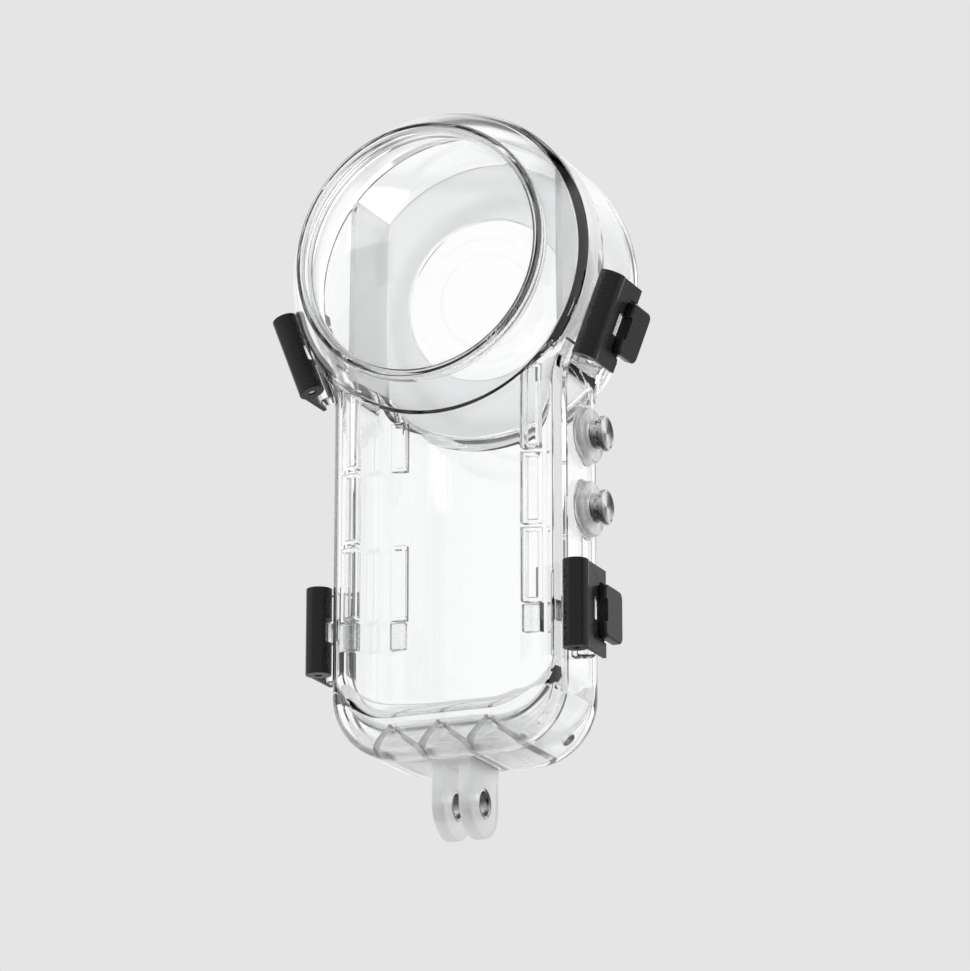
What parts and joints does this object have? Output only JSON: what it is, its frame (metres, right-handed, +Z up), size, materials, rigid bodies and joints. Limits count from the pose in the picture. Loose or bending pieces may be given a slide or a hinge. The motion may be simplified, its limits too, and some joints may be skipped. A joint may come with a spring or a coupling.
{
  "type": "dive housing for an action camera",
  "caption": "Clear hinged-latch dive housing for a slim two-lens action camera, with domed ports, push buttons and a two-finger screw mount below.",
  "frame": {"origin": "middle of the screw axis of the two-finger mount below the body", "axes": "+X towards the push buttons, along the mount's screw axis; +Y from the front cover to the back; +Z up, from the mount to the round head"},
  "size_m": [0.0828, 0.075, 0.1582],
  "materials": {
    "clear_shell": "clear moulded polycarbonate, glossy",
    "dome": "clear polished optical dome",
    "latch": "black moulded acetal, satin",
    "button": "turned stainless steel, fine brushed",
    "steel": "stainless steel, plain",
    "silicone": "translucent silicone, matt",
    "seal": "grey translucent silicone, matt",
    "o_ring": "black nitrile rubber, greased"
  },
  "bodies": {
    "rear_half": {"rear_shell": "clear_shell", "main_seal": "seal", "rear_dome": "dome", "rear_dome_seal": "seal", "mount_bush_left": "steel", "mount_bush_right": "steel", "pad_rear_left": "silicone", "pad_rear_right": "silicone", "button_o_ring_upper": "o_ring", "button_o_ring_lower": "o_ring", "button_spring_upper": "steel", "button_spring_lower": "steel"},
    "front_cover": {"front_shell": "clear_shell", "front_dome": "dome", "front_dome_seal": "seal", "pad_front_left": "silicone", "pad_front_right": "silicone", "latch_pin_upper_right": "steel", "latch_pin_upper_left": "steel", "latch_pin_lower_right": "steel", "latch_pin_lower_left": "steel"},
    "upper_right_latch": {"latch_upper_right": "latch"},
    "upper_left_latch": {"latch_upper_left": "latch"},
    "lower_right_latch": {"latch_lower_right": "latch"},
    "lower_left_latch": {"latch_lower_left": "latch"},
    "upper_button": {"button_upper": "button", "button_clip_upper": "steel", "button_tip_upper": "silicone"},
    "lower_button": {"button_lower": "button", "button_clip_lower": "steel", "button_tip_lower": "silicone"}
  },
  "joints": [
    {"name": "cover_lift_off", "type": "slide", "parent": "rear_half", "child": "front_cover", "axis": [0, -1, 0], "range_m": [0, 0.05]},
    {"name": "upper_right_latch_hinge", "type": "hinge", "parent": "front_cover", "child": "upper_right_latch", "pos_m": [0.03535, -0.0102, 0.10122], "axis": [-0.3616, 0, -0.9323], "range_deg": [0, 70]},
    {"name": "upper_left_latch_hinge", "type": "hinge", "parent": "front_cover", "child": "upper_left_latch", "pos_m": [-0.03535, -0.0102, 0.10122], "axis": [-0.3616, 0, 0.9323], "range_deg": [0, 70]},
    {"name": "lower_right_latch_hinge", "type": "hinge", "parent": "front_cover", "child": "lower_right_latch", "pos_m": [0.0297, -0.0102, 0.0384], "axis": [0, 0, -1], "range_deg": [0, 70]},
    {"name": "lower_left_latch_hinge", "type": "hinge", "parent": "front_cover", "child": "lower_left_latch", "pos_m": [-0.0297, -0.0102, 0.0384], "axis": [0, 0, 1], "range_deg": [0, 70]},
    {"name": "upper_button_press", "type": "slide", "parent": "rear_half", "child": "upper_button", "axis": [-1, 0, 0], "range_m": [0, 0.0015], "stiffness_N_per_m": 300, "springref_m": -0.002, "deforming": ["button_spring_upper"]},
    {"name": "lower_button_press", "type": "slide", "parent": "rear_half", "child": "lower_button", "axis": [-1, 0, 0], "range_m": [0, 0.0015], "stiffness_N_per_m": 300, "springref_m": -0.002, "deforming": ["button_spring_lower"]}
  ]
}
